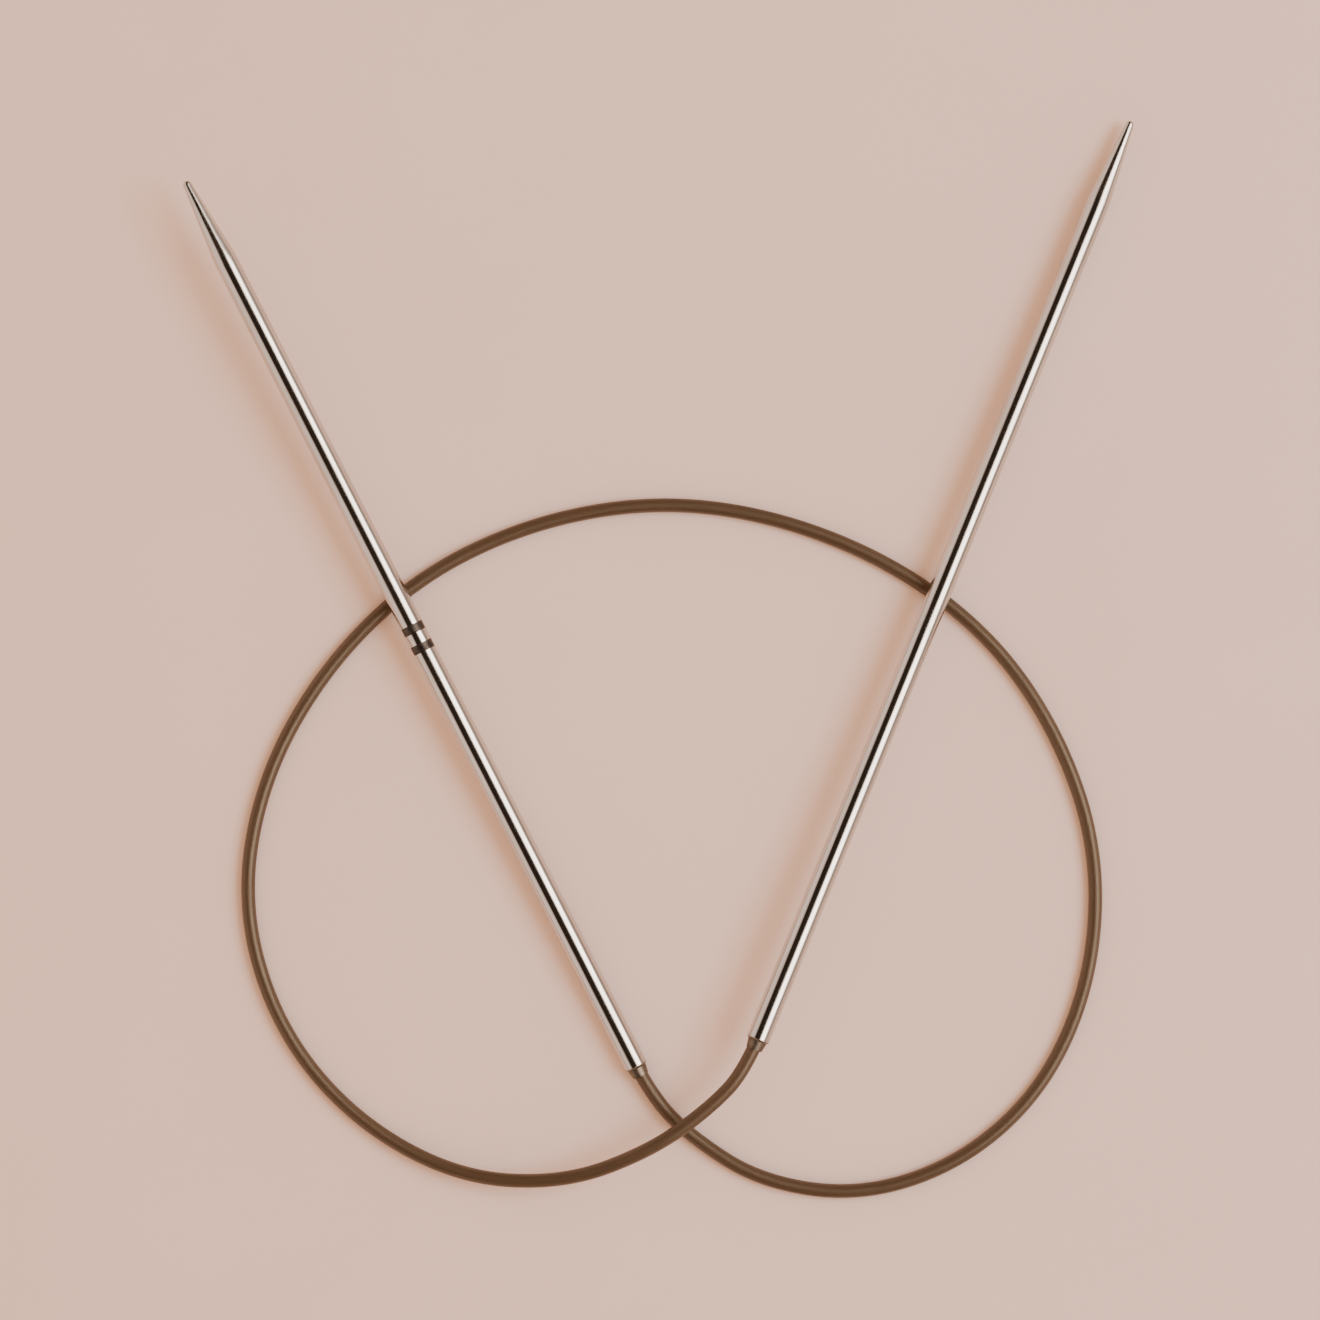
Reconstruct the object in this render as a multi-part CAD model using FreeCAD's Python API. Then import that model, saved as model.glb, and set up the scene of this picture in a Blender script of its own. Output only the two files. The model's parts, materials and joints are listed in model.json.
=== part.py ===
import FreeCAD, Part
import math
import os

from FreeCAD import Placement, Rotation, Vector

# Circular knitting needle: two steel needles, 2.0 mm in diameter, joined by a nylon-coated steel cord,
# 400 mm from point to point. It lies on a flat surface with its cord in one loop that crosses itself,
# and both needles lie over the cord. Each needle turns freely about its own axis on a headed pin that is
# crimped on the cord's wire and held in the needle's rear socket by a bush.
# Millimetres. The origin is on the surface, under the middle of the two needles. +Z is up.

# Needles
NEEDLE_RADIUS = 1.0
NEEDLE_LENGTH = 85.0
POINT_HALF_ANGLE = math.radians(5.2)
POINT_TIP_RADIUS = 0.36
POINT_SHOULDER_RADIUS = 15.0
REAR_CHAMFER = 0.15

# Two size rings, etched round the left needle only
RING_WIDTH = 0.75
RING_SPACING = 1.75
RING_DEPTH = 0.015
RING_FROM_REAR = 40.1

# Socket in the rear of each needle, with its drill point
SOCKET_RADIUS = 0.75
SOCKET_DEPTH = 4.4
DRILL_HALF_ANGLE = math.radians(59.0)

# Bush pressed into the socket's mouth, with a tapered collar that shows behind the needle
BUSH_DEPTH = 3.0
COLLAR_LENGTH = 0.8
COLLAR_RADIUS = 0.84
COLLAR_MOUTH_RADIUS = 0.70
MOUTH_LIP = 0.06
CORD_CLEARANCE = 0.05
PIN_CLEARANCE = 0.04
END_PLAY = 0.05

# Cord: a nylon jacket over a steel wire core
CORD_RADIUS = 0.6
CORE_RADIUS = 0.3
JACKET_INSERTION = 1.2
JACKET_END_GAP = 0.1
CORD_LEAD = 2.7

# Headed pin crimped on the bare end of the core
PIN_RADIUS = 0.46
HEAD_RADIUS = 0.68
HEAD_LENGTH = 0.8
HEAD_CHAMFER = 0.1

# Where each needle lies: the middle of its rear face, its heading and its slope, from rear to point.
# The left needle's rear rests on the surface; the right needle's is held up by the cord.
NEEDLES = {
    "left": {"rear": Vector(-2.0, -40.1, 1.0), "heading": 116.9, "slope": 2.3, "rings": True},
    "right": {"rear": Vector(8.3, -37.6, 4.2), "heading": 67.8, "slope": -1.9, "rings": False},
}

# Corners of the cord's route, from the left needle's rear end to the right needle's. The last ones rise
# into a low hump, where the cord crosses over its own first stretch.
CORD_ON_SURFACE = CORD_RADIUS
HUMP_TOP = 4.85
CORD_CORNERS = [
    (2.5, -46.0, 0.62),
    (8.7, -50.0, CORD_ON_SURFACE),
    (17.5, -51.2, CORD_ON_SURFACE),
    (26.3, -48.1, CORD_ON_SURFACE),
    (33.2, -41.6, CORD_ON_SURFACE),
    (37.1, -32.3, CORD_ON_SURFACE),
    (37.6, -21.7, CORD_ON_SURFACE),
    (34.4, -11.9, CORD_ON_SURFACE),
    (28.6, -3.3, CORD_ON_SURFACE),
    (20.0, 3.2, CORD_ON_SURFACE),
    (9.6, 7.3, CORD_ON_SURFACE),
    (-0.8, 8.5, CORD_ON_SURFACE),
    (-11.5, 6.5, CORD_ON_SURFACE),
    (-21.2, 1.7, CORD_ON_SURFACE),
    (-29.0, -6.1, CORD_ON_SURFACE),
    (-34.2, -15.6, CORD_ON_SURFACE),
    (-35.9, -26.1, CORD_ON_SURFACE),
    (-33.0, -36.4, CORD_ON_SURFACE),
    (-26.6, -44.4, CORD_ON_SURFACE),
    (-17.5, -49.5, 1.5),
    (-8.2, -49.9, 3.6),
    (-0.6, -46.9, HUMP_TOP),
    (4.4, -43.2, HUMP_TOP),
]
# Each bend takes this much of the shorter of its two runs
BEND_SHARE = 0.45

Z_AXIS = Vector(0, 0, 1)


def turned(edges):
    """Solid of revolution about Z from a closed outline in the XZ plane, where X is the radius."""
    face = Part.Face(Part.Wire(edges))
    return face.revolve(Vector(0, 0, 0), Z_AXIS, 360)


def outline(corners):
    """Straight edges from each (radius, height) corner to the next."""
    places = [Vector(radius, 0, height) for radius, height in corners]
    return [Part.LineSegment(a, b).toShape() for a, b in zip(places, places[1:])]


def closed_outline(corners):
    return outline(corners + corners[:1])


def arc(start, middle, end):
    return Part.Arc(start, middle, end).toShape()


def arc_about(centre_x, centre_z, radius, start_angle, end_angle):
    """Arc in the XZ plane. Angles are counted from +X towards +Z."""
    angles = (start_angle, (start_angle + end_angle) / 2, end_angle)
    centre = Vector(centre_x, 0, centre_z)
    places = [centre + Vector(math.cos(a), 0, math.sin(a)) * radius for a in angles]
    return arc(*places)


def point_start():
    """Distance from the rear face to where the shank begins to narrow into the point."""
    angle = POINT_HALF_ANGLE
    shoulder_end_radius = NEEDLE_RADIUS - POINT_SHOULDER_RADIUS * (1 - math.cos(angle))
    cone_end_radius = POINT_TIP_RADIUS * math.cos(angle)
    cone_length = (shoulder_end_radius - cone_end_radius) / math.tan(angle)
    cone_end = NEEDLE_LENGTH - POINT_TIP_RADIUS * (1 - math.sin(angle))
    return cone_end - cone_length - POINT_SHOULDER_RADIUS * math.sin(angle)


def needle(rings):
    """A needle along Z, with its rear face at z = 0 and its point up."""
    shank = [(SOCKET_RADIUS, 0), (NEEDLE_RADIUS - REAR_CHAMFER, 0), (NEEDLE_RADIUS, REAR_CHAMFER)]
    if rings:
        floor = NEEDLE_RADIUS - RING_DEPTH
        for ring in range(2):
            low = RING_FROM_REAR + ring * RING_SPACING
            high = low + RING_WIDTH
            shank += [(NEEDLE_RADIUS, low), (floor, low), (floor, high), (NEEDLE_RADIUS, high)]
    shoulder = point_start()
    shank.append((NEEDLE_RADIUS, shoulder))
    blend_centre = NEEDLE_RADIUS - POINT_SHOULDER_RADIUS
    blend = arc_about(blend_centre, shoulder, POINT_SHOULDER_RADIUS, 0, POINT_HALF_ANGLE)
    tip_centre = NEEDLE_LENGTH - POINT_TIP_RADIUS
    tip = arc_about(0, tip_centre, POINT_TIP_RADIUS, POINT_HALF_ANGLE, math.pi / 2)
    cone = Part.LineSegment(blend.Vertexes[-1].Point, tip.Vertexes[0].Point).toShape()
    drill_point = SOCKET_DEPTH + SOCKET_RADIUS / math.tan(DRILL_HALF_ANGLE)
    inside = [(0, NEEDLE_LENGTH), (0, drill_point), (SOCKET_RADIUS, SOCKET_DEPTH), (SOCKET_RADIUS, 0)]
    return turned(outline(shank) + [blend, cone, tip] + outline(inside))


def retaining_bush():
    """Stepped bush: the jacket turns in its wide bore, the pin in its narrow one."""
    wide = CORD_RADIUS + CORD_CLEARANCE
    narrow = PIN_RADIUS + PIN_CLEARANCE
    step = JACKET_INSERTION + JACKET_END_GAP
    return turned(closed_outline([
        (narrow, step),
        (wide, step),
        (wide, MOUTH_LIP - COLLAR_LENGTH),
        (wide + MOUTH_LIP / 2, -COLLAR_LENGTH),
        (COLLAR_MOUTH_RADIUS, -COLLAR_LENGTH),
        (COLLAR_RADIUS, 0),
        (SOCKET_RADIUS, 0),
        (SOCKET_RADIUS, BUSH_DEPTH),
        (narrow, BUSH_DEPTH),
    ]))


def pin_end():
    """Distance from the needle's rear face to the front face of the pin's head."""
    return BUSH_DEPTH + END_PLAY + HEAD_LENGTH


def swivel_pin():
    """Hollow headed pin. Its stem turns in the bush and its head stops against the bush's front."""
    head_rear = BUSH_DEPTH + END_PLAY
    return turned(closed_outline([
        (CORE_RADIUS, JACKET_INSERTION),
        (PIN_RADIUS, JACKET_INSERTION),
        (PIN_RADIUS, head_rear),
        (HEAD_RADIUS, head_rear),
        (HEAD_RADIUS, pin_end() - HEAD_CHAMFER),
        (HEAD_RADIUS - HEAD_CHAMFER, pin_end()),
        (CORE_RADIUS, pin_end()),
    ]))


def needle_axis(place):
    """Unit vector from a needle's rear end to its point."""
    heading = math.radians(place["heading"])
    slope = math.radians(place["slope"])
    level = math.cos(slope)
    return Vector(level * math.cos(heading), level * math.sin(heading), math.sin(slope))


def on_needle(place, distance):
    """Point on a needle's axis, at a distance from the rear face towards the point."""
    return place["rear"] + needle_axis(place) * distance


def cord_route():
    """The jacket's route: inside one bush, straight out, round the loop and into the other bush."""
    left, right = NEEDLES["left"], NEEDLES["right"]
    start = [on_needle(left, JACKET_INSERTION), on_needle(left, -CORD_LEAD)]
    end = [on_needle(right, -CORD_LEAD), on_needle(right, JACKET_INSERTION)]
    return start + [Vector(*corner) for corner in CORD_CORNERS] + end


def rounded_path(corners):
    """Straight runs joined by the largest tangent arcs that the runs allow, and the arcs' radii."""
    edges = []
    radii = []
    here = corners[0]
    for before, corner, after in zip(corners, corners[1:], corners[2:]):
        run_in = corner - before
        run_out = after - corner
        trim = BEND_SHARE * min(run_in.Length, run_out.Length)
        half_turn = run_in.getAngle(run_out) / 2
        radius = trim / math.tan(half_turn)
        way_in = run_in.normalize()
        way_out = run_out.normalize()
        arc_start = corner - way_in * trim
        arc_end = corner + way_out * trim
        inward = (way_out - way_in).normalize()
        arc_middle = corner + inward * (radius / math.cos(half_turn) - radius)
        edges.append(Part.LineSegment(here, arc_start).toShape())
        edges.append(arc(arc_start, arc_middle, arc_end))
        radii.append(radius)
        here = arc_end
    edges.append(Part.LineSegment(here, corners[-1]).toShape())
    return Part.Wire(edges), radii


def swept_rod(path, radius, start, direction):
    """Solid round rod of the given radius along a path that starts at start."""
    section = Part.Wire(Part.Circle(start, direction, radius).toShape())
    return path.makePipeShell([section], True, False)


def build_cord():
    """The jacket and the core that fills it and runs on through both pins."""
    corners = cord_route()
    path, radii = rounded_path(corners)
    start_direction = corners[1] - corners[0]
    full = swept_rod(path, CORD_RADIUS, corners[0], start_direction)
    bore = swept_rod(path, CORE_RADIUS, corners[0], start_direction)
    jacket = full.cut(bore)
    core = bore
    for place in NEEDLES.values():
        bare = Part.makeCylinder(CORE_RADIUS, pin_end() - JACKET_INSERTION,
                                 on_needle(place, JACKET_INSERTION), needle_axis(place))
        core = core.fuse(bare)
    report_cord(path, radii, jacket)
    return jacket, core.removeSplitter()


def report_cord(path, radii, jacket):
    section = math.pi * (CORD_RADIUS ** 2 - CORE_RADIUS ** 2)
    expected = section * path.Length
    print("cord bend radii, mm:", [round(radius, 1) for radius in radii])
    print("jacket length, mm:", round(path.Length, 2))
    print("jacket volume, mm3:", round(jacket.Volume, 2), "section x length:", round(expected, 2))


def export(node, shape):
    if not shape.isValid() or len(shape.Solids) != 1:
        raise RuntimeError(node + " is not one valid solid")
    shape.Solids[0].exportStep(os.path.join("parts", node + ".step"))
    print(node, "volume", round(shape.Volume, 3), "mm3")


os.makedirs("parts", exist_ok=True)

for side, place in NEEDLES.items():
    lay_down = Placement(place["rear"], Rotation(Z_AXIS, needle_axis(place)))
    pieces = {
        side + "_needle": needle(place["rings"]),
        side + "_retaining_bush": retaining_bush(),
        side + "_swivel_pin": swivel_pin(),
    }
    for node, shape in pieces.items():
        shape.Placement = lay_down
        export(node, shape)

cord_jacket, cord_core = build_cord()
export("cord_jacket", cord_jacket)
export("cord_core", cord_core)
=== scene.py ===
import json
import math

import bpy
from mathutils import Matrix, Vector


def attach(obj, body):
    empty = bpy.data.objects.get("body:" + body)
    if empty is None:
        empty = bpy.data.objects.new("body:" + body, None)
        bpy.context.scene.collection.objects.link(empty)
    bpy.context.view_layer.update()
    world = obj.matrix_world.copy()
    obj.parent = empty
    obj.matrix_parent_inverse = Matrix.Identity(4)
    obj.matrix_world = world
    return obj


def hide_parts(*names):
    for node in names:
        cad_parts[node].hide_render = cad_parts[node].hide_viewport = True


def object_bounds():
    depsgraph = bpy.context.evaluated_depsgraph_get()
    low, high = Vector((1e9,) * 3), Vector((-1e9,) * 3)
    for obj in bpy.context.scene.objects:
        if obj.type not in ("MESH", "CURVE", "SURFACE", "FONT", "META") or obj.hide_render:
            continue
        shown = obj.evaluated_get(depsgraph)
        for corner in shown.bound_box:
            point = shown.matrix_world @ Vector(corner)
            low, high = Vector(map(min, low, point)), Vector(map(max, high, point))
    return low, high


# Circular knitting needle: two polished steel needles joined by a nylon-coated wire cord. Each needle turns
# on a headed pin crimped on the cord's wire. Lengths in the constants are millimetres unless a comment or
# their name says otherwise, and the objects are in metres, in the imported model's frame.

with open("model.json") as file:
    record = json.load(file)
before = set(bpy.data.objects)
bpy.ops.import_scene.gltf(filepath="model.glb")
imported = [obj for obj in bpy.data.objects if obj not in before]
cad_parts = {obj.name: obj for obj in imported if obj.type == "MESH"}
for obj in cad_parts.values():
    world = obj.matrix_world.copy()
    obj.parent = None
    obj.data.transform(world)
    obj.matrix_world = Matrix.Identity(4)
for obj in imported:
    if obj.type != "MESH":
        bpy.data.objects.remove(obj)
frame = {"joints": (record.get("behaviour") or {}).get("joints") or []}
cad_low, cad_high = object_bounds()

MM = 0.001

# Turned pieces. Distances along a needle start at its rear face and grow towards its point.
NEEDLE_RADIUS = 1.0
NEEDLE_LENGTH = 85.0
POINT_HALF_ANGLE = math.radians(5.2)
POINT_TIP_RADIUS = 0.36
POINT_SHOULDER_RADIUS = 15.0
REAR_CHAMFER = 0.15
RING_WIDTH = 0.75
RING_SPACING = 1.75
RING_DEPTH = 0.015
RING_FROM_REAR = 40.1
SOCKET_RADIUS = 0.75
SOCKET_DEPTH = 4.4
DRILL_HALF_ANGLE = math.radians(59.0)
BUSH_DEPTH = 3.0
COLLAR_LENGTH = 0.8
COLLAR_RADIUS = 0.84
COLLAR_MOUTH_RADIUS = 0.70
MOUTH_LIP = 0.06
BUSH_WIDE_BORE = 0.65
BUSH_NARROW_BORE = 0.50
BUSH_STEP = 1.3
PIN_REAR = 1.2
PIN_RADIUS = 0.46
PIN_HOLE = 0.3
HEAD_REAR = 3.05
HEAD_FRONT = 3.85
HEAD_RADIUS = 0.68
HEAD_CHAMFER = 0.1
LATHE_SIDES = 96
LONGEST_STEP = 2.5

# Cord
CORD_RADIUS = 0.6
JACKET_BORE = 0.31
JACKET_INSERTION = 1.2
CORD_LEAD = 2.7
CORD_SIDES = 32
WIRE_RADIUS = 0.1
WIRE_SIDES = 6
STRAND_PITCH = 6.0
STRAND_STEP = 0.5

# The cord's route between the two needles, in metres
CORD_ROUTE_M = [
    (0.0025, -0.0460, 0.00062),
    (0.0087, -0.0500, 0.0006),
    (0.0175, -0.0512, 0.0006),
    (0.0263, -0.0481, 0.0006),
    (0.0332, -0.0416, 0.0006),
    (0.0371, -0.0323, 0.0006),
    (0.0376, -0.0217, 0.0006),
    (0.0344, -0.0119, 0.0006),
    (0.0286, -0.0033, 0.0006),
    (0.0200, 0.0032, 0.0006),
    (0.0096, 0.0073, 0.0006),
    (-0.0008, 0.0085, 0.0006),
    (-0.0115, 0.0065, 0.0006),
    (-0.0212, 0.0017, 0.0006),
    (-0.0290, -0.0061, 0.0006),
    (-0.0342, -0.0156, 0.0006),
    (-0.0359, -0.0261, 0.0006),
    (-0.0330, -0.0364, 0.0006),
    (-0.0266, -0.0444, 0.0006),
    (-0.0175, -0.0495, 0.00135),
    (-0.0082, -0.0499, 0.0029),
    (-0.0006, -0.0469, 0.0041),
    (0.0044, -0.0432, 0.0043),
]
SPLINE_STEPS = 16

# Camera: straight down on the object, with +Y up in the picture
LENS_MM = 150.0
SENSOR_MM = 36.0
VIEW_MARGIN = 1.22

# Colours of the finishes, as (main, second) pairs
STEEL_TINTS = (0.67, 0.64, 0.60), (0.56, 0.53, 0.49)
STEEL_STREAKS = (0.44, 0.415, 0.38)
# Painted shade: dark colour of the band at each needle's rear edge, standing in for the dark line where the
# needle ends
STEEL_EDGE_SHADE = (0.16, 0.12, 0.09)
ETCHED_TINTS = (0.032, 0.027, 0.023), (0.098, 0.085, 0.072)
BUSH_TINTS = (0.21, 0.172, 0.130), (0.120, 0.094, 0.068)
PIN_TINTS = (0.62, 0.61, 0.58), (0.42, 0.41, 0.39)
NYLON_TINTS = (0.068, 0.046, 0.027), (0.049, 0.0315, 0.0175)
NYLON_LINES = (0.108, 0.074, 0.043)
NYLON_SPECKS = (0.032, 0.020, 0.011)
NYLON_GLOSS = (1.0, 0.86, 0.68, 1.0)
NYLON_SCATTER = (1.0, 0.45, 0.18)
WIRE_TINTS = (0.58, 0.57, 0.55), (0.40, 0.39, 0.37)
CARD_TINTS = (0.885, 0.745, 0.665), (0.905, 0.765, 0.685)

# Spans along a needle, in metres from its rear face, where the ground point and the dark band of painted
# shade at the rear edge fade in
GROUND_POINT = (0.0755, 0.0785)
SHADED_REAR_EDGE = (0.00008, 0.00026)

# Floor, in metres
FLOOR_HALF_WIDTH = 3.0

# Key light: angles in degrees, lengths in metres
KEY_AZIMUTH = 5
KEY_ZENITH = 39
KEY_DISTANCE = 0.6
KEY_SIZE = 0.34
KEY_RADIANCE = 6.8
KEY_COLOUR = (0.80, 0.88, 1.0)

# What matte surfaces see, and what the camera sees past the floor
FILL = (1.20, 0.70, 0.44)
BACKDROP = (1.20, 0.85, 0.72)

# Light tent that glossy surfaces see. An edge is the span of a direction's X, Y or Z over which one part
# fades into the next. The dark strip's angles are in degrees.
TENT_RIGHT = (8.0, 7.0, 6.3)
TENT_LEFT = (1.40, 1.08, 0.93)
TENT_WALL = (0.60, 0.45, 0.37)
TENT_ENDS = (0.30, 0.24, 0.20)
TENT_STRIP = (0.03, 0.021, 0.015)
RIGHT_PANEL_EDGE = (0.20, 0.46)
LEFT_PANEL_EDGE = (0.28, 0.48)
BACK_WALL_EDGE = (0.34, 0.48)
FRONT_WALL_EDGE = (0.38, 0.54)
LOW_WALL_EDGE = (-0.65, -0.41)
STRIP_LEAN = 15.0
STRIP_HALF_WIDTH = 24.0
STRIP_SOFTNESS = 8.0


# ---- Shapes ----

def outward(direction):
    """Outward normal of an outline's run, where the solid lies on the run's left."""
    return Vector((direction.y, -direction.x))


def run_points(start, end, colour):
    """Points along a straight run after its start, with the run's normal."""
    run = end - start
    normal = outward(run.normalized())
    count = max(1, math.ceil(run.length / LONGEST_STEP))
    return [(start + run * step / count, normal, colour) for step in range(1, count + 1)]


def arc_points(centre, radius, start_angle, end_angle, steps, colour=0):
    """Points on a convex arc, angles counted from +radius towards +height."""
    points = []
    for step in range(steps + 1):
        angle = start_angle + (end_angle - start_angle) * step / steps
        normal = Vector((math.cos(angle), math.sin(angle)))
        points.append((centre + normal * radius, normal, colour))
    return points


def eased_corner(before, corner, after, ease, colour, steps=4):
    """The small arc that replaces one corner of a turned piece's outline."""
    way_in = (corner - before).normalized()
    way_out = (after - corner).normalized()
    turn = math.atan2(way_in.x * way_out.y - way_in.y * way_out.x, way_in.dot(way_out))
    if abs(turn) < math.radians(1):
        return [(corner, outward(way_in), colour)]
    half = math.tan(abs(turn) / 2)
    trim = min(ease * half, 0.4 * (corner - before).length, 0.4 * (after - corner).length)
    side = math.copysign(1, turn)
    start = corner - way_in * trim
    first = outward(way_in)
    centre = start - first * side * trim / half
    points = []
    for step in range(steps + 1):
        angle = turn * step / steps
        normal = Matrix.Rotation(angle, 2) @ first
        points.append((centre + normal * side * trim / half, normal, colour))
    return points


def eased(corners, ease, closed):
    """Outline of a turned piece from (radius, height, colour) corners, as (place, normal, colour) points.

    A point's colour is the material of the run that starts there.
    """
    places = [Vector(corner[:2]) for corner in corners]
    colours = [corner[2] for corner in corners]
    count = len(places)
    points = []
    for index, place in enumerate(places):
        if not closed and index in (0, count - 1):
            neighbour = places[1] if index == 0 else places[-2]
            way = (neighbour - place) if index == 0 else (place - neighbour)
            arc = [(place, outward(way.normalized()), colours[index])]
        else:
            arc = eased_corner(places[index - 1], place, places[(index + 1) % count], ease, colours[index])
        if points:
            points += run_points(points[-1][0], arc[0][0], points[-1][2])[:-1]
        points += arc
    if closed:
        points += run_points(points[-1][0], points[0][0], points[-1][2])[:-1]
    return points


def turned(name, outline, closed, materials):
    """Mesh of revolution about its own Z axis, with the outline's own normals."""
    vertices, normals, rings = [], [], []
    for place, normal, _ in outline:
        if place.x < 1e-6:
            rings.append([len(vertices)] * LATHE_SIDES)
            vertices.append((0, 0, place.y * MM))
            normals.append((0, 0, math.copysign(1, normal.y)))
            continue
        rings.append(list(range(len(vertices), len(vertices) + LATHE_SIDES)))
        for side in range(LATHE_SIDES):
            angle = 2 * math.pi * side / LATHE_SIDES
            across = Vector((math.cos(angle), math.sin(angle)))
            vertices.append((place.x * across.x * MM, place.x * across.y * MM, place.y * MM))
            normals.append((normal.x * across.x, normal.x * across.y, normal.y))
    faces, colours = [], []
    last = len(rings) if closed else len(rings) - 1
    for index in range(last):
        low, high = rings[index], rings[(index + 1) % len(rings)]
        for side in range(LATHE_SIDES):
            after = (side + 1) % LATHE_SIDES
            face = [low[side], low[after], high[after], high[side]]
            faces.append(list(dict.fromkeys(face)))
            colours.append(outline[index][2])
    mesh = bpy.data.meshes.new(name)
    mesh.from_pydata(vertices, [], faces)
    mesh.polygons.foreach_set("use_smooth", [True] * len(faces))
    for material in materials:
        mesh.materials.append(material)
    mesh.polygons.foreach_set("material_index", colours)
    mesh.normals_split_custom_set_from_vertices(normals)
    return add_object(name, mesh)


def add_object(name, data):
    thing = bpy.data.objects.new(name, data)
    bpy.context.scene.collection.objects.link(thing)
    return thing


def needle_outline(rings):
    """A needle's outline, from the bottom of its socket round the rear face to its tip."""
    drill_point = SOCKET_DEPTH + SOCKET_RADIUS / math.tan(DRILL_HALF_ANGLE)
    corners = [
        (0, drill_point, 0),
        (SOCKET_RADIUS, SOCKET_DEPTH, 0),
        (SOCKET_RADIUS, 0, 0),
        (NEEDLE_RADIUS - REAR_CHAMFER, 0, 0),
        (NEEDLE_RADIUS, REAR_CHAMFER, 0),
    ]
    if rings:
        floor = NEEDLE_RADIUS - RING_DEPTH
        for ring in range(2):
            low = RING_FROM_REAR + ring * RING_SPACING
            high = low + RING_WIDTH
            corners += [(NEEDLE_RADIUS, low, 1), (floor, low, 1)]
            corners += [(floor, high, 1), (NEEDLE_RADIUS, high, 0)]
    shoulder_drop = POINT_SHOULDER_RADIUS * (1 - math.cos(POINT_HALF_ANGLE))
    cone_end_radius = POINT_TIP_RADIUS * math.cos(POINT_HALF_ANGLE)
    cone_length = (NEEDLE_RADIUS - shoulder_drop - cone_end_radius) / math.tan(POINT_HALF_ANGLE)
    cone_end = NEEDLE_LENGTH - POINT_TIP_RADIUS * (1 - math.sin(POINT_HALF_ANGLE))
    shoulder = cone_end - cone_length - POINT_SHOULDER_RADIUS * math.sin(POINT_HALF_ANGLE)
    corners.append((NEEDLE_RADIUS, shoulder, 0))
    outline = eased(corners, 0.05, closed=False)[:-1]
    blend_centre = Vector((NEEDLE_RADIUS - POINT_SHOULDER_RADIUS, shoulder))
    outline += arc_points(blend_centre, POINT_SHOULDER_RADIUS, 0, POINT_HALF_ANGLE, 6)
    tip_centre = Vector((0, NEEDLE_LENGTH - POINT_TIP_RADIUS))
    tip = arc_points(tip_centre, POINT_TIP_RADIUS, POINT_HALF_ANGLE, math.pi / 2, 10)
    outline += run_points(outline[-1][0], tip[0][0], 0)[:-1]
    return outline + tip


def bush_outline():
    corners = [
        (BUSH_NARROW_BORE, BUSH_STEP),
        (BUSH_WIDE_BORE, BUSH_STEP),
        (BUSH_WIDE_BORE, MOUTH_LIP - COLLAR_LENGTH),
        (BUSH_WIDE_BORE + MOUTH_LIP / 2, -COLLAR_LENGTH),
        (COLLAR_MOUTH_RADIUS, -COLLAR_LENGTH),
        (COLLAR_RADIUS, 0),
        (SOCKET_RADIUS, 0),
        (SOCKET_RADIUS, BUSH_DEPTH),
        (BUSH_NARROW_BORE, BUSH_DEPTH),
    ]
    return eased([(*corner, 0) for corner in corners], 0.03, closed=True)


def pin_outline():
    corners = [
        (PIN_HOLE, PIN_REAR),
        (PIN_RADIUS, PIN_REAR),
        (PIN_RADIUS, HEAD_REAR),
        (HEAD_RADIUS, HEAD_REAR),
        (HEAD_RADIUS, HEAD_FRONT - HEAD_CHAMFER),
        (HEAD_RADIUS - HEAD_CHAMFER, HEAD_FRONT),
        (PIN_HOLE, HEAD_FRONT),
    ]
    return eased([(*corner, 0) for corner in corners], 0.03, closed=True)


def needle_frame(joint):
    """Placement of a needle's own frame: Z along it from its rear face, from its joint's place and axis."""
    turn = Vector(joint["axis"]).to_track_quat("Z", "Y").to_matrix().to_4x4()
    return Matrix.Translation(joint["pos_m"]) @ turn


def on_needle(joint, distance):
    """Point on a needle's axis, at a distance in millimetres from its rear face towards its point."""
    return Vector(joint["pos_m"]) + Vector(joint["axis"]).normalized() * distance * MM


# ---- Cord ----

def spline_points(left, right):
    """Points in order along the cord's smooth line, from inside one bush to inside the other."""
    route = [on_needle(left, JACKET_INSERTION), on_needle(left, -CORD_LEAD)]
    route += [Vector(corner) for corner in CORD_ROUTE_M]
    route += [on_needle(right, -CORD_LEAD), on_needle(right, JACKET_INSERTION)]
    curve = bpy.data.curves.new("cord_line", "CURVE")
    curve.dimensions = "3D"
    spline = curve.splines.new("NURBS")
    spline.points.add(len(route) - 1)
    for point, place in zip(spline.points, route):
        point.co = (*place, 1)
    spline.order_u = 3
    spline.use_endpoint_u = True
    spline.resolution_u = SPLINE_STEPS
    line = bpy.data.objects.new("cord_line", curve)
    mesh = bpy.data.meshes.new_from_object(line)
    points = [vertex.co.copy() for vertex in mesh.vertices]
    bpy.data.objects.remove(line)
    bpy.data.meshes.remove(mesh)
    return points


def carried_frames(points):
    """A pair of directions across the line at each point, carried along it without twist."""
    frames = []
    across = None
    for index, point in enumerate(points):
        before = points[max(index - 1, 0)]
        after = points[min(index + 1, len(points) - 1)]
        along = (after - before).normalized()
        if across is None:
            across = along.cross(Vector((0, 0, 1)))
        across = (across - along * across.dot(along)).normalized()
        frames.append((across.copy(), along.cross(across)))
    return frames


def lengths_along(points):
    total = [0.0]
    for before, after in zip(points, points[1:]):
        total.append(total[-1] + (after - before).length)
    return total


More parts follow.
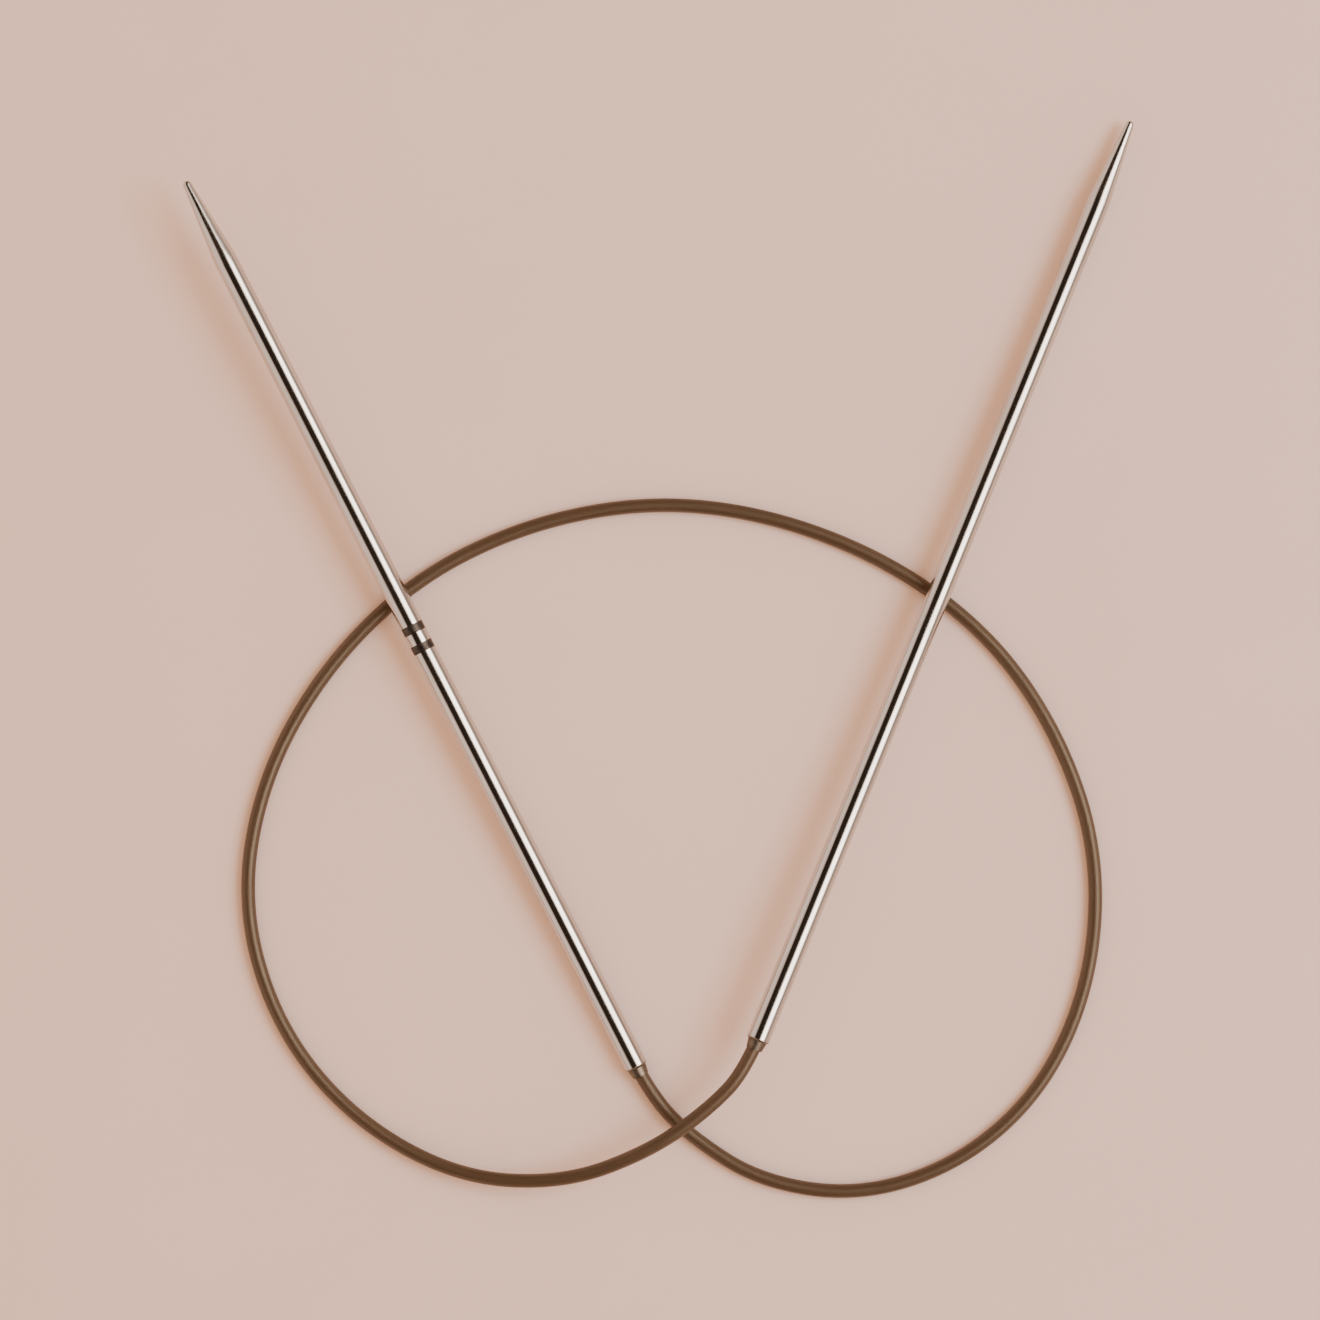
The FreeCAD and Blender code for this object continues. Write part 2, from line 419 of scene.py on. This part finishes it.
class TubeMesh:
    """Vertices, faces and (round, along) UVs of round tubes, gathered into one mesh."""

    def __init__(self):
        self.vertices, self.faces, self.uvs = [], [], []

    def sleeve(self, points, radius, sides, inward=False):
        """One open tube wall. Returns the indices of its first and last rings."""
        first = len(self.vertices)
        for place, (across, up) in zip(points, carried_frames(points)):
            for side in range(sides):
                angle = 2 * math.pi * side / sides
                self.vertices.append(place + (across * math.cos(angle) + up * math.sin(angle)) * radius)
        along = lengths_along(points)
        for index in range(len(points) - 1):
            for side in range(sides):
                after = (side + 1) % sides
                low, high = first + index * sides, first + (index + 1) * sides
                corners = [low + side, low + after, high + after, high + side]
                left, right = side / sides, (side + 1) / sides
                near, far = along[index], along[index + 1]
                uvs = [(left, near), (right, near), (right, far), (left, far)]
                if inward:
                    corners.reverse()
                    uvs.reverse()
                self.faces.append(corners)
                self.uvs += uvs
        last = len(self.vertices) - sides
        return list(range(first, first + sides)), list(range(last, last + sides))

    def bridge(self, outer, inner, flip, place):
        """Flat ring between the ends of two walls that have the same number of sides."""
        count = len(outer)
        for side in range(count):
            after = (side + 1) % count
            corners = [outer[side], outer[after], inner[after], inner[side]]
            if flip:
                corners.reverse()
            self.faces.append(corners)
            self.uvs += [(side / count, place)] * 4

    def cap(self, ring, flip, place):
        self.faces.append(ring[::-1] if flip else list(ring))
        self.uvs += [(0.0, place)] * len(ring)

    def build(self, name, material):
        mesh = bpy.data.meshes.new(name)
        mesh.from_pydata(self.vertices, [], self.faces)
        layer = mesh.uv_layers.new(name="round_and_along")
        layer.data.foreach_set("uv", [value for pair in self.uvs for value in pair])
        mesh.polygons.foreach_set("use_smooth", [True] * len(self.faces))
        mesh.set_sharp_from_angle(angle=math.radians(50))
        mesh.materials.append(material)
        return add_object(name, mesh)


def build_jacket(points, material):
    tube = TubeMesh()
    outer_start, outer_end = tube.sleeve(points, CORD_RADIUS * MM, CORD_SIDES)
    inner_start, inner_end = tube.sleeve(points, JACKET_BORE * MM, CORD_SIDES, inward=True)
    tube.bridge(outer_start, inner_start, True, 0.0)
    tube.bridge(outer_end, inner_end, False, lengths_along(points)[-1])
    return tube.build("nylon_jacket", material)


def spaced(points, step):
    """Points an even step apart along a line, both ends included."""
    along = lengths_along(points)
    count = round(along[-1] / step)
    result = []
    index = 0
    for number in range(count + 1):
        target = along[-1] * number / count
        while index < len(points) - 2 and along[index + 1] < target:
            index += 1
        share = (target - along[index]) / (along[index + 1] - along[index])
        result.append(points[index].lerp(points[index + 1], share))
    return result


def build_wire(points, left, right, material):
    """Seven-wire strand: six round wires wound about a straight one, ending in the two pins."""
    line = [on_needle(left, HEAD_FRONT)] + points + [on_needle(right, HEAD_FRONT)]
    line = spaced(line, STRAND_STEP * MM)
    frames = carried_frames(line)
    along = lengths_along(line)
    strand = TubeMesh()
    wires = [line]
    for wire in range(6):
        winding = []
        for place, (across, up), distance in zip(line, frames, along):
            angle = 2 * math.pi * (distance / (STRAND_PITCH * MM) + wire / 6)
            winding.append(place + (across * math.cos(angle) + up * math.sin(angle)) * 2 * WIRE_RADIUS * MM)
        wires.append(winding)
    for wire in wires:
        start, end = strand.sleeve(wire, WIRE_RADIUS * MM, WIRE_SIDES)
        strand.cap(start, True, 0.0)
        strand.cap(end, False, along[-1])
    return strand.build("wire_strand", material)


# ---- Materials ----

class Finish:
    """A node material round one Principled shader."""

    def __init__(self, name):
        self.material = bpy.data.materials.new(name)
        self.material.use_nodes = True
        self.tree = self.material.node_tree
        self.shader = self.tree.nodes["Principled BSDF"]
        self.output = self.tree.nodes["Material Output"]

    def set(self, **values):
        for name, value in values.items():
            self.shader.inputs[name.replace("_", " ")].default_value = value

    def node(self, kind, **values):
        node = self.tree.nodes.new(kind)
        for name, value in values.items():
            setattr(node, name, value)
        return node

    def link(self, output, target):
        self.tree.links.new(output, target)

    def coordinates(self, scale):
        """The piece's own coordinates, scaled per axis, so Z runs along a needle."""
        source = self.node("ShaderNodeTexCoord")
        mapping = self.node("ShaderNodeMapping")
        mapping.inputs["Scale"].default_value = scale
        self.link(source.outputs["Object"], mapping.inputs["Vector"])
        return mapping.outputs["Vector"]

    def noise(self, vector, scale=1.0, detail=3.0, roughness=0.55):
        noise = self.node("ShaderNodeTexNoise")
        noise.inputs["Scale"].default_value = scale
        noise.inputs["Detail"].default_value = detail
        noise.inputs["Roughness"].default_value = roughness
        self.link(vector, noise.inputs["Vector"])
        return noise.outputs["Fac"]

    def ranged(self, value, low, high, to_low, to_high, smooth=False):
        """The value remapped from (low, high) to (to_low, to_high), clamped."""
        remap = self.node("ShaderNodeMapRange")
        if smooth:
            remap.interpolation_type = "SMOOTHSTEP"
        limits = {"From Min": low, "From Max": high, "To Min": to_low, "To Max": to_high}
        for name, number in limits.items():
            remap.inputs[name].default_value = number
        self.link(value, remap.inputs["Value"])
        return remap.outputs["Result"]

    def math(self, operation, first, second=None):
        node = self.node("ShaderNodeMath", operation=operation)
        for value, target in zip((first, second), node.inputs):
            if isinstance(value, (int, float)):
                target.default_value = value
            elif value is not None:
                self.link(value, target)
        return node.outputs[0]

    def mixed(self, factor, first, second):
        """Colour between first and second, which are colours or outputs."""
        node = self.node("ShaderNodeMix", data_type="RGBA")
        self.link(factor, node.inputs["Factor"])
        for value, target in ((first, node.inputs[6]), (second, node.inputs[7])):
            if isinstance(value, tuple):
                target.default_value = (*value, 1.0)
            else:
                self.link(value, target)
        return node.outputs[2]

    def bump(self, height, distance, strength=1.0):
        node = self.node("ShaderNodeBump")
        node.inputs["Strength"].default_value = strength
        node.inputs["Distance"].default_value = distance
        self.link(height, node.inputs["Height"])
        self.link(node.outputs["Normal"], self.shader.inputs["Normal"])

    def height(self):
        """Distance along the piece's own Z axis, in metres."""
        source = self.node("ShaderNodeTexCoord")
        split = self.node("ShaderNodeSeparateXYZ")
        self.link(source.outputs["Object"], split.inputs[0])
        return split.outputs["Z"]


def needle_steel():
    """Polished steel: fine lengthwise draw lines, smudges, grinding lines round the point, and a dark band
    of painted shade at the rear edge.
    """
    finish = Finish("needle_steel")
    finish.set(Metallic=1.0)
    lines = finish.noise(finish.coordinates((5200, 5200, 70)), detail=4.0, roughness=0.6)
    grinding = finish.noise(finish.coordinates((900, 900, 9000)), detail=2.0)
    smudges = finish.noise(finish.coordinates((420, 420, 150)), detail=3.0)
    ground = finish.ranged(finish.height(), *GROUND_POINT, 0.0, 1.0, smooth=True)
    tint = finish.mixed(finish.ranged(smudges, 0.35, 0.75, 0.0, 1.0), *STEEL_TINTS)
    streaks = finish.mixed(finish.ranged(lines, 0.3, 0.75, 0.0, 0.35), tint, STEEL_STREAKS)
    # Painted shade: the base colour darkens to a dark band at the rear edge, which also gets rougher
    rear_edge_shade = finish.ranged(finish.height(), *SHADED_REAR_EDGE, 0.9, 0.0, smooth=True)
    finish.link(finish.mixed(rear_edge_shade, streaks, STEEL_EDGE_SHADE), finish.shader.inputs["Base Color"])
    shank_roughness = finish.ranged(lines, 0.3, 0.7, 0.09, 0.17)
    haze = finish.ranged(smudges, 0.5, 0.8, 0.0, 0.10)
    point_roughness = finish.math("MULTIPLY", ground, finish.ranged(grinding, 0.3, 0.7, 0.02, 0.10))
    edge_roughness = finish.math("MULTIPLY", rear_edge_shade, 0.3)
    extra = finish.math("ADD", point_roughness, edge_roughness)
    roughness = finish.math("ADD", finish.math("ADD", shank_roughness, haze), extra)
    finish.link(roughness, finish.shader.inputs["Roughness"])
    grooves = finish.math("MULTIPLY", grinding, ground)
    relief = finish.math("ADD", finish.math("MULTIPLY", lines, 0.6), grooves)
    finish.bump(relief, 0.000004, 0.5)
    return finish.material


def etched_steel():
    """The dark matte bottom of an etched size ring."""
    finish = Finish("etched_ring")
    finish.set(Metallic=0.9)
    mottle = finish.noise(finish.coordinates((3500, 3500, 3500)), detail=4.0)
    colour = finish.mixed(finish.ranged(mottle, 0.3, 0.7, 0.0, 1.0), *ETCHED_TINTS)
    finish.link(colour, finish.shader.inputs["Base Color"])
    finish.link(finish.ranged(mottle, 0.3, 0.7, 0.30, 0.46), finish.shader.inputs["Roughness"])
    finish.bump(mottle, 0.000006, 0.6)
    return finish.material


def turned_steel(name, tints, rough):
    """Machined steel with fine tool marks round its axis."""
    finish = Finish(name)
    finish.set(Metallic=1.0)
    marks = finish.noise(finish.coordinates((300, 300, 26000)), detail=2.0)
    stain = finish.noise(finish.coordinates((1500, 1500, 1500)), detail=2.0)
    base = finish.mixed(finish.ranged(stain, 0.35, 0.7, 0.0, 1.0), *tints)
    colour = finish.mixed(finish.ranged(marks, 0.3, 0.7, 0.0, 0.4), base, tints[1])
    finish.link(colour, finish.shader.inputs["Base Color"])
    finish.link(finish.ranged(marks, 0.3, 0.7, rough, rough + 0.12), finish.shader.inputs["Roughness"])
    finish.bump(marks, 0.000005, 0.6)
    return finish.material


def wrapped_coordinates(finish, round_scale, along_scale):
    """Seamless coordinates on a tube from its (round, along) UVs, for lines that run along it."""
    uv = finish.node("ShaderNodeUVMap", uv_map="round_and_along")
    split = finish.node("ShaderNodeSeparateXYZ")
    finish.link(uv.outputs["UV"], split.inputs[0])
    turn = finish.math("MULTIPLY", split.outputs["X"], 2 * math.pi)
    joined = finish.node("ShaderNodeCombineXYZ")
    finish.link(finish.math("MULTIPLY", finish.math("COSINE", turn), round_scale), joined.inputs["X"])
    finish.link(finish.math("MULTIPLY", finish.math("SINE", turn), round_scale), joined.inputs["Y"])
    finish.link(finish.math("MULTIPLY", split.outputs["Y"], along_scale), joined.inputs["Z"])
    return joined.outputs["Vector"]


def cord_nylon():
    """Glossy brown nylon, slightly translucent, with faint die lines, specks and a little unevenness."""
    finish = Finish("cord_nylon")
    finish.set(IOR=1.53, Specular_IOR_Level=0.62, Subsurface_Weight=0.22, Subsurface_Scale=0.0004)
    finish.set(Specular_Tint=NYLON_GLOSS, Subsurface_Radius=NYLON_SCATTER)
    lines = finish.noise(wrapped_coordinates(finish, 7.0, 50.0), detail=4.0, roughness=0.65)
    patches = finish.noise(wrapped_coordinates(finish, 1.2, 160.0), detail=2.0)
    specks = finish.noise(finish.coordinates((5200, 5200, 5200)), detail=2.0)
    tone = finish.mixed(finish.ranged(patches, 0.3, 0.7, 0.0, 1.0), *NYLON_TINTS)
    lined = finish.mixed(finish.ranged(lines, 0.35, 0.75, 0.0, 0.6), tone, NYLON_LINES)
    colour = finish.mixed(finish.ranged(specks, 0.60, 0.75, 0.0, 0.5), lined, NYLON_SPECKS)
    finish.link(colour, finish.shader.inputs["Base Color"])
    gloss = finish.ranged(patches, 0.3, 0.7, 0.33, 0.42)
    roughness = finish.math("ADD", gloss, finish.ranged(lines, 0.3, 0.7, 0.0, 0.08))
    finish.link(roughness, finish.shader.inputs["Roughness"])
    relief = finish.math("ADD", lines, finish.math("MULTIPLY", specks, 0.4))
    finish.bump(relief, 0.000014, 0.6)
    return finish.material


def cord_wire():
    """Drawn spring-steel wire."""
    finish = Finish("cord_wire")
    finish.set(Metallic=1.0)
    lines = finish.noise(wrapped_coordinates(finish, 3.0, 400.0), detail=2.0)
    colour = finish.mixed(finish.ranged(lines, 0.3, 0.7, 0.0, 1.0), *WIRE_TINTS)
    finish.link(colour, finish.shader.inputs["Base Color"])
    finish.link(finish.ranged(lines, 0.3, 0.7, 0.22, 0.36), finish.shader.inputs["Roughness"])
    return finish.material


def floor_card():
    """Plain warm off-white card."""
    finish = Finish("floor_card")
    finish.set(Roughness=0.85, Specular_IOR_Level=0.2)
    grain = finish.noise(finish.coordinates((60, 60, 60)), detail=4.0)
    colour = finish.mixed(finish.ranged(grain, 0.3, 0.7, 0.0, 1.0), *CARD_TINTS)
    finish.link(colour, finish.shader.inputs["Base Color"])
    return finish.material


# ---- Studio ----

def add_camera(low, high):
    centre = (low + high) / 2
    longer = max(high.x - low.x, high.y - low.y)
    data = bpy.data.cameras.new("camera")
    data.lens = LENS_MM
    data.sensor_width = SENSOR_MM
    data.clip_start, data.clip_end = 0.01, 20
    camera = add_object("camera", data)
    camera.location = (centre.x, centre.y, centre.z + VIEW_MARGIN * longer * LENS_MM / SENSOR_MM)
    bpy.context.scene.camera = camera


def add_floor():
    half = FLOOR_HALF_WIDTH
    corners = [(-half, -half, 0), (half, -half, 0), (half, half, 0), (-half, half, 0)]
    mesh = bpy.data.meshes.new("floor")
    mesh.from_pydata(corners, [], [(0, 1, 2, 3)])
    mesh.materials.append(floor_card())
    add_object("floor", mesh)


def add_key_light(target):
    """Square soft light that faces the target. Only matte surfaces see it, so it gives the soft shadow."""
    data = bpy.data.lights.new("key", "AREA")
    data.shape = "SQUARE"
    data.size = KEY_SIZE
    data.energy = KEY_RADIANCE * math.pi * KEY_SIZE * KEY_SIZE
    data.color = KEY_COLOUR
    light = add_object("key", data)
    azimuth, zenith = math.radians(KEY_AZIMUTH), math.radians(KEY_ZENITH)
    level = math.sin(zenith)
    away = Vector((level * math.cos(azimuth), level * math.sin(azimuth), math.cos(zenith)))
    light.location = target + away * KEY_DISTANCE
    light.rotation_euler = away.to_track_quat("Z", "Y").to_euler()
    light.visible_glossy = False


def add_world():
    """Light tent: a bright panel on the right, a paler one on the left, and a dark strip overhead.

    The strip runs from front to back, so it draws one even dark line along each needle to its point.
    Matte surfaces see only the even fill light, and the camera sees a plain backdrop.
    """
    world = bpy.data.worlds.new("studio")
    bpy.context.scene.world = world
    world.use_nodes = True
    tree = world.node_tree
    nodes, links = tree.nodes, tree.links
    direction = nodes.new("ShaderNodeTexCoord").outputs["Generated"]

    def towards(axis):
        dot = nodes.new("ShaderNodeVectorMath")
        dot.operation = "DOT_PRODUCT"
        dot.inputs[1].default_value = axis
        links.new(direction, dot.inputs[0])
        return dot.outputs["Value"]

    def absolute(value):
        size = nodes.new("ShaderNodeMath")
        size.operation = "ABSOLUTE"
        links.new(value, size.inputs[0])
        return size.outputs[0]

    def ramp(value, low, high):
        remap = nodes.new("ShaderNodeMapRange")
        remap.interpolation_type = "SMOOTHSTEP"
        remap.inputs["From Min"].default_value = low
        remap.inputs["From Max"].default_value = high
        links.new(value, remap.inputs["Value"])
        return remap.outputs["Result"]

    def mixed(factor, first, second):
        mix = nodes.new("ShaderNodeMix")
        mix.data_type = "RGBA"
        links.new(factor, mix.inputs["Factor"])
        for value, target in ((first, mix.inputs[6]), (second, mix.inputs[7])):
            if isinstance(value, tuple):
                target.default_value = (*value, 1.0)
            else:
                links.new(value, target)
        return mix.outputs[2]

    rays = nodes.new("ShaderNodeLightPath")
    tent = mixed(ramp(towards((1, 0, 0)), *RIGHT_PANEL_EDGE), TENT_ENDS, TENT_RIGHT)
    tent = mixed(ramp(towards((0, 1, 0)), *BACK_WALL_EDGE), tent, TENT_WALL)
    tent = mixed(ramp(towards((0, -1, 0)), *FRONT_WALL_EDGE), tent, TENT_WALL)
    tent = mixed(ramp(towards((0, 0, -1)), *LOW_WALL_EDGE), tent, TENT_WALL)
    tent = mixed(ramp(towards((-1, 0, 0)), *LEFT_PANEL_EDGE), tent, TENT_LEFT)
    lean = math.radians(STRIP_LEAN)
    across = towards((math.cos(lean), 0, math.sin(lean)))
    half, soft = math.radians(STRIP_HALF_WIDTH), math.radians(STRIP_SOFTNESS)
    tent = mixed(ramp(absolute(across), math.sin(half + soft), math.sin(half - soft)), tent, TENT_STRIP)
    light = mixed(rays.outputs["Is Glossy Ray"], FILL, tent)
    light = mixed(rays.outputs["Is Camera Ray"], light, BACKDROP)
    links.new(light, nodes["Background"].inputs["Color"])


# ---- The model ----

joints = {joint["child"]: joint for joint in frame["joints"]}
left_joint, right_joint = joints["left_needle"], joints["right_needle"]

add_camera(cad_low, cad_high)

line = spline_points(left_joint, right_joint)
jacket = build_jacket(line, cord_nylon())
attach(jacket, "cord")
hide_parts("cord_jacket")

wire = build_wire(line, left_joint, right_joint, cord_wire())
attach(wire, "cord")
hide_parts("cord_core")

steel = needle_steel()
bush_steel = turned_steel("bush_steel", BUSH_TINTS, 0.38)
pin_steel = turned_steel("pin_steel", PIN_TINTS, 0.30)
etched = etched_steel()
for side, joint in (("left", left_joint), ("right", right_joint)):
    place = needle_frame(joint)
    body = side + "_needle"
    pieces = [
        (side + "_needle", needle_outline(side == "left"), False, [steel, etched], body, "needle_steel"),
        (side + "_retaining_bush", bush_outline(), True, [bush_steel], body, "bush_steel"),
        (side + "_swivel_pin", pin_outline(), True, [pin_steel], "cord", "pin_steel"),
    ]
    for node, outline, closed, materials, rides_on, slot in pieces:
        piece = turned(node + "_turned", outline, closed, materials)
        piece.matrix_world = place
        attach(piece, rides_on)
        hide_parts(node)

add_floor()
middle = (cad_low + cad_high) / 2
add_key_light(Vector((middle.x, middle.y, 0)))
add_world()
